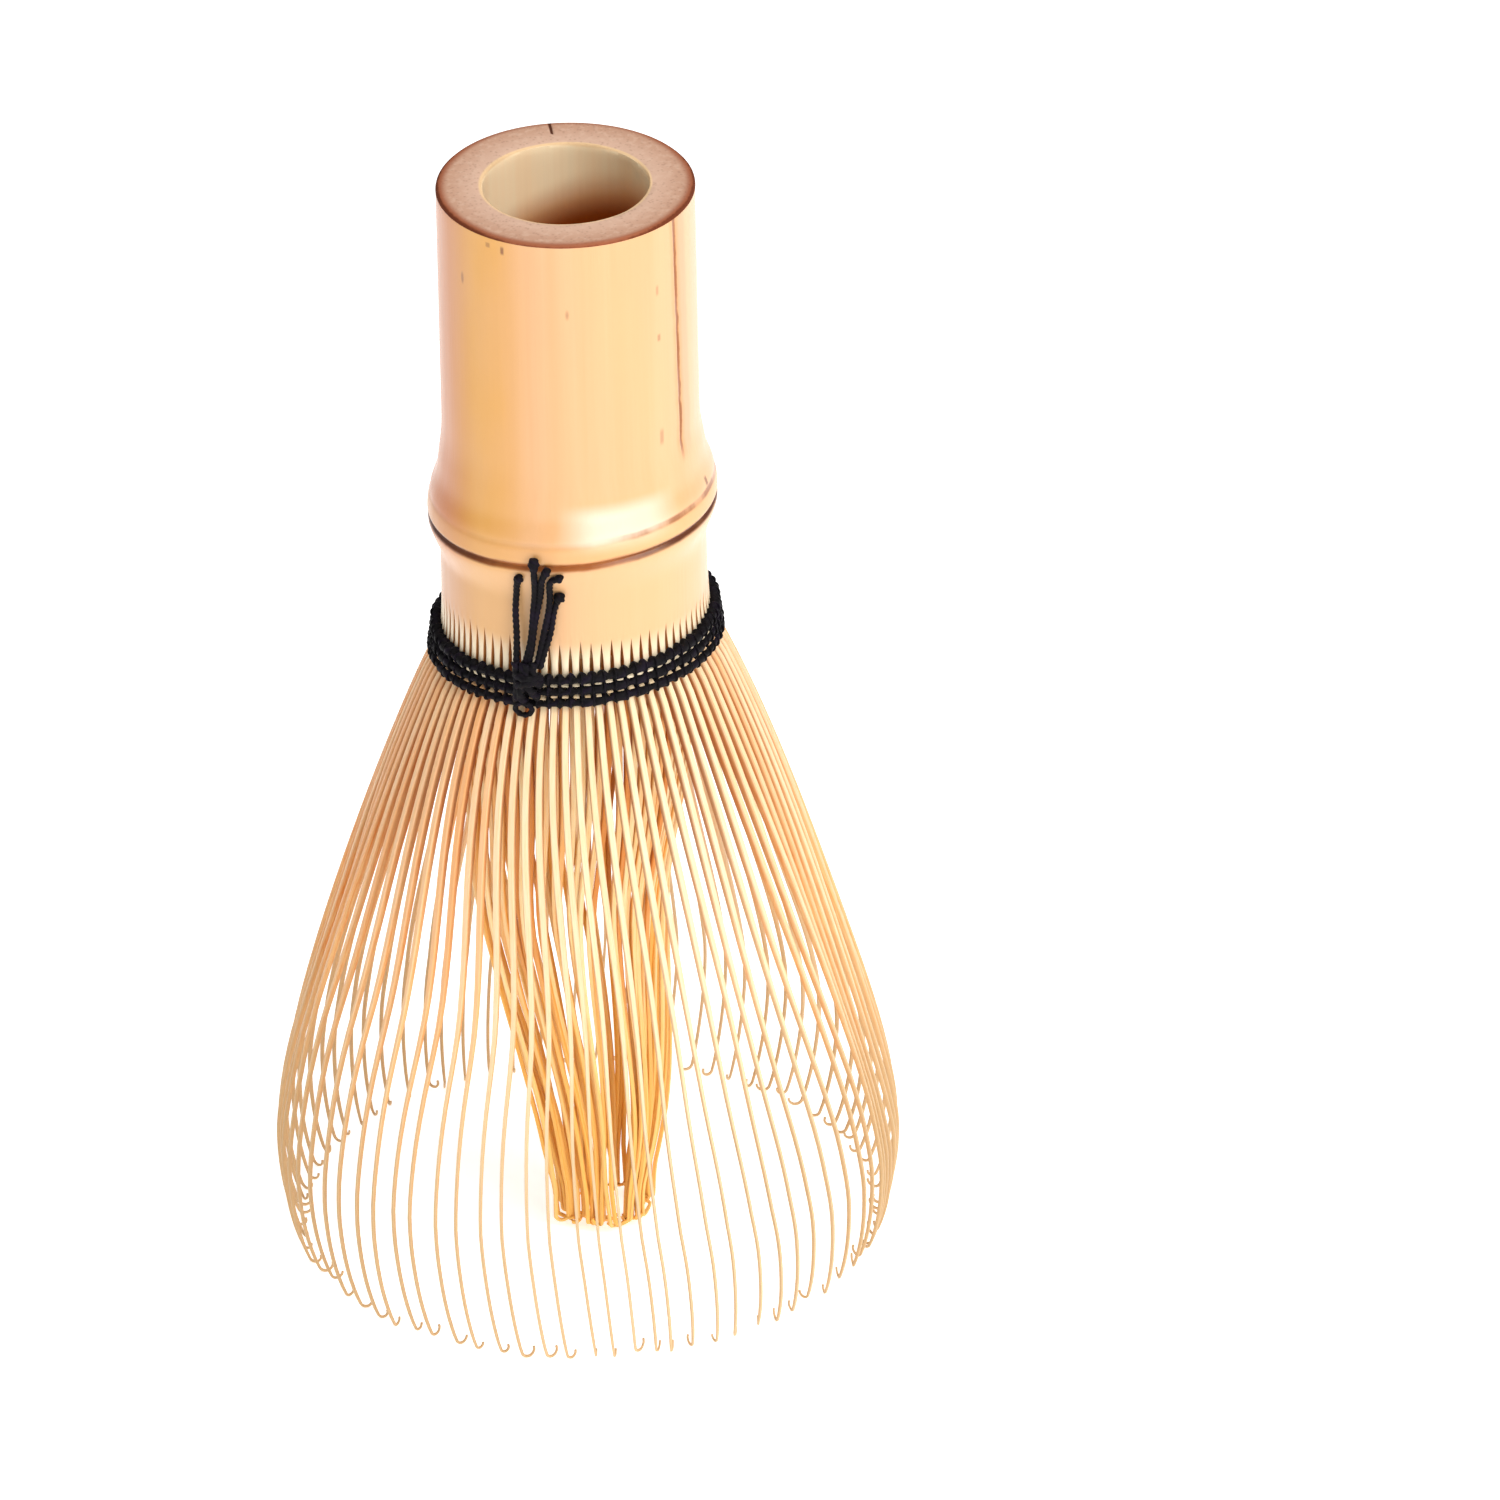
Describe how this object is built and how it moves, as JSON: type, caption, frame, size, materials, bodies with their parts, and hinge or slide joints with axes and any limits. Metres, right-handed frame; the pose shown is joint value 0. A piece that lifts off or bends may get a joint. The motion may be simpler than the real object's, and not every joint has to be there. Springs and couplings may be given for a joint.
{
  "type": "bamboo tea whisk",
  "caption": "Bamboo tea whisk with a hollow culm handle, thread-bound neck, bell-shaped cage of hooked outer tines and a slim bundle of inner tines that flex as sprung fans.",
  "frame": {"origin": "on the whisk's axis, level with the lowest point of the tine tips", "axes": "+Z along the axis from the tine tips towards the handle end; the knot is near -Y, and the thread band is lowest at -X"},
  "size_m": [0.0588, 0.0588, 0.1104],
  "materials": {
    "bamboo_skin": "satin dried bamboo skin",
    "bamboo_tine": "matt split bamboo",
    "bamboo_core": "matt split bamboo, darker",
    "black_thread": "twisted cotton thread"
  },
  "bodies": {
    "handle": {"culm": "bamboo_skin", "outer_tine_roots": "bamboo_tine", "inner_tine_roots": "bamboo_core", "thread_knot": "black_thread", "thread_round_1": "black_thread", "thread_round_2": "black_thread", "thread_round_3": "black_thread", "thread_end_1": "black_thread", "thread_end_2": "black_thread", "thread_end_3": "black_thread", "thread_end_4": "black_thread", "thread_end_5": "black_thread"},
    "outer_fan_01": {"outer_tines_01": "bamboo_tine"},
    "outer_fan_02": {"outer_tines_02": "bamboo_tine"},
    "outer_fan_03": {"outer_tines_03": "bamboo_tine"},
    "outer_fan_04": {"outer_tines_04": "bamboo_tine"},
    "outer_fan_05": {"outer_tines_05": "bamboo_tine"},
    "outer_fan_06": {"outer_tines_06": "bamboo_tine"},
    "outer_fan_07": {"outer_tines_07": "bamboo_tine"},
    "outer_fan_08": {"outer_tines_08": "bamboo_tine"},
    "outer_fan_09": {"outer_tines_09": "bamboo_tine"},
    "outer_fan_10": {"outer_tines_10": "bamboo_tine"},
    "outer_fan_11": {"outer_tines_11": "bamboo_tine"},
    "outer_fan_12": {"outer_tines_12": "bamboo_tine"},
    "outer_fan_13": {"outer_tines_13": "bamboo_tine"},
    "outer_fan_14": {"outer_tines_14": "bamboo_tine"},
    "outer_fan_15": {"outer_tines_15": "bamboo_tine"},
    "outer_fan_16": {"outer_tines_16": "bamboo_tine"},
    "inner_fan_01": {"inner_tines_01": "bamboo_core"},
    "inner_fan_02": {"inner_tines_02": "bamboo_core"},
    "inner_fan_03": {"inner_tines_03": "bamboo_core"},
    "inner_fan_04": {"inner_tines_04": "bamboo_core"},
    "inner_fan_05": {"inner_tines_05": "bamboo_core"},
    "inner_fan_06": {"inner_tines_06": "bamboo_core"},
    "inner_fan_07": {"inner_tines_07": "bamboo_core"},
    "inner_fan_08": {"inner_tines_08": "bamboo_core"}
  },
  "joints": [
    {"name": "outer_flex_01", "type": "hinge", "parent": "handle", "child": "outer_fan_01", "pos_m": [0.01255, 0, 0.06366], "axis": [0, -1, 0], "range_deg": [-2, 6], "stiffness_Nm_per_rad": 0.02},
    {"name": "outer_flex_02", "type": "hinge", "parent": "handle", "child": "outer_fan_02", "pos_m": [0.01159, 0.0048, 0.0636], "axis": [0.3827, -0.9239, 0], "range_deg": [-2, 6], "stiffness_Nm_per_rad": 0.02},
    {"name": "outer_flex_03", "type": "hinge", "parent": "handle", "child": "outer_fan_03", "pos_m": [0.00887, 0.00887, 0.06342], "axis": [0.7071, -0.7071, 0], "range_deg": [-2, 6], "stiffness_Nm_per_rad": 0.02},
    {"name": "outer_flex_04", "type": "hinge", "parent": "handle", "child": "outer_fan_04", "pos_m": [0.0048, 0.01159, 0.06315], "axis": [0.9239, -0.3827, 0], "range_deg": [-2, 6], "stiffness_Nm_per_rad": 0.02},
    {"name": "outer_flex_05", "type": "hinge", "parent": "handle", "child": "outer_fan_05", "pos_m": [0, 0.01255, 0.06283], "axis": [1, 0, 0], "range_deg": [-2, 6], "stiffness_Nm_per_rad": 0.02},
    {"name": "outer_flex_06", "type": "hinge", "parent": "handle", "child": "outer_fan_06", "pos_m": [-0.0048, 0.01159, 0.06251], "axis": [0.9239, 0.3827, 0], "range_deg": [-2, 6], "stiffness_Nm_per_rad": 0.02},
    {"name": "outer_flex_07", "type": "hinge", "parent": "handle", "child": "outer_fan_07", "pos_m": [-0.00887, 0.00887, 0.06224], "axis": [0.7071, 0.7071, 0], "range_deg": [-2, 6], "stiffness_Nm_per_rad": 0.02},
    {"name": "outer_flex_08", "type": "hinge", "parent": "handle", "child": "outer_fan_08", "pos_m": [-0.01159, 0.0048, 0.06206], "axis": [0.3827, 0.9239, 0], "range_deg": [-2, 6], "stiffness_Nm_per_rad": 0.02},
    {"name": "outer_flex_09", "type": "hinge", "parent": "handle", "child": "outer_fan_09", "pos_m": [-0.01255, 0, 0.062], "axis": [0, 1, 0], "range_deg": [-2, 6], "stiffness_Nm_per_rad": 0.02},
    {"name": "outer_flex_10", "type": "hinge", "parent": "handle", "child": "outer_fan_10", "pos_m": [-0.01159, -0.0048, 0.06206], "axis": [-0.3827, 0.9239, 0], "range_deg": [-2, 6], "stiffness_Nm_per_rad": 0.02},
    {"name": "outer_flex_11", "type": "hinge", "parent": "handle", "child": "outer_fan_11", "pos_m": [-0.00887, -0.00887, 0.06224], "axis": [-0.7071, 0.7071, 0], "range_deg": [-2, 6], "stiffness_Nm_per_rad": 0.02},
    {"name": "outer_flex_12", "type": "hinge", "parent": "handle", "child": "outer_fan_12", "pos_m": [-0.0048, -0.01159, 0.06251], "axis": [-0.9239, 0.3827, 0], "range_deg": [-2, 6], "stiffness_Nm_per_rad": 0.02},
    {"name": "outer_flex_13", "type": "hinge", "parent": "handle", "child": "outer_fan_13", "pos_m": [0, -0.01255, 0.06283], "axis": [-1, 0, 0], "range_deg": [-2, 6], "stiffness_Nm_per_rad": 0.02},
    {"name": "outer_flex_14", "type": "hinge", "parent": "handle", "child": "outer_fan_14", "pos_m": [0.0048, -0.01159, 0.06315], "axis": [-0.9239, -0.3827, 0], "range_deg": [-2, 6], "stiffness_Nm_per_rad": 0.02},
    {"name": "outer_flex_15", "type": "hinge", "parent": "handle", "child": "outer_fan_15", "pos_m": [0.00887, -0.00887, 0.06342], "axis": [-0.7071, -0.7071, 0], "range_deg": [-2, 6], "stiffness_Nm_per_rad": 0.02},
    {"name": "outer_flex_16", "type": "hinge", "parent": "handle", "child": "outer_fan_16", "pos_m": [0.01159, -0.0048, 0.0636], "axis": [-0.3827, -0.9239, 0], "range_deg": [-2, 6], "stiffness_Nm_per_rad": 0.02},
    {"name": "inner_flex_01", "type": "hinge", "parent": "handle", "child": "inner_fan_01", "pos_m": [0.011, 0, 0.06366], "axis": [0, -1, 0], "range_deg": [0, 4], "stiffness_Nm_per_rad": 0.02},
    {"name": "inner_flex_02", "type": "hinge", "parent": "handle", "child": "inner_fan_02", "pos_m": [0.00778, 0.00778, 0.06342], "axis": [0.7071, -0.7071, 0], "range_deg": [0, 4], "stiffness_Nm_per_rad": 0.02},
    {"name": "inner_flex_03", "type": "hinge", "parent": "handle", "child": "inner_fan_03", "pos_m": [0, 0.011, 0.06283], "axis": [1, 0, 0], "range_deg": [0, 4], "stiffness_Nm_per_rad": 0.02},
    {"name": "inner_flex_04", "type": "hinge", "parent": "handle", "child": "inner_fan_04", "pos_m": [-0.00778, 0.00778, 0.06224], "axis": [0.7071, 0.7071, 0], "range_deg": [0, 4], "stiffness_Nm_per_rad": 0.02},
    {"name": "inner_flex_05", "type": "hinge", "parent": "handle", "child": "inner_fan_05", "pos_m": [-0.011, 0, 0.062], "axis": [0, 1, 0], "range_deg": [0, 4], "stiffness_Nm_per_rad": 0.02},
    {"name": "inner_flex_06", "type": "hinge", "parent": "handle", "child": "inner_fan_06", "pos_m": [-0.00778, -0.00778, 0.06224], "axis": [-0.7071, 0.7071, 0], "range_deg": [0, 4], "stiffness_Nm_per_rad": 0.02},
    {"name": "inner_flex_07", "type": "hinge", "parent": "handle", "child": "inner_fan_07", "pos_m": [0, -0.011, 0.06283], "axis": [-1, 0, 0], "range_deg": [0, 4], "stiffness_Nm_per_rad": 0.02},
    {"name": "inner_flex_08", "type": "hinge", "parent": "handle", "child": "inner_fan_08", "pos_m": [0.00778, -0.00778, 0.06342], "axis": [-0.7071, -0.7071, 0], "range_deg": [0, 4], "stiffness_Nm_per_rad": 0.02}
  ]
}
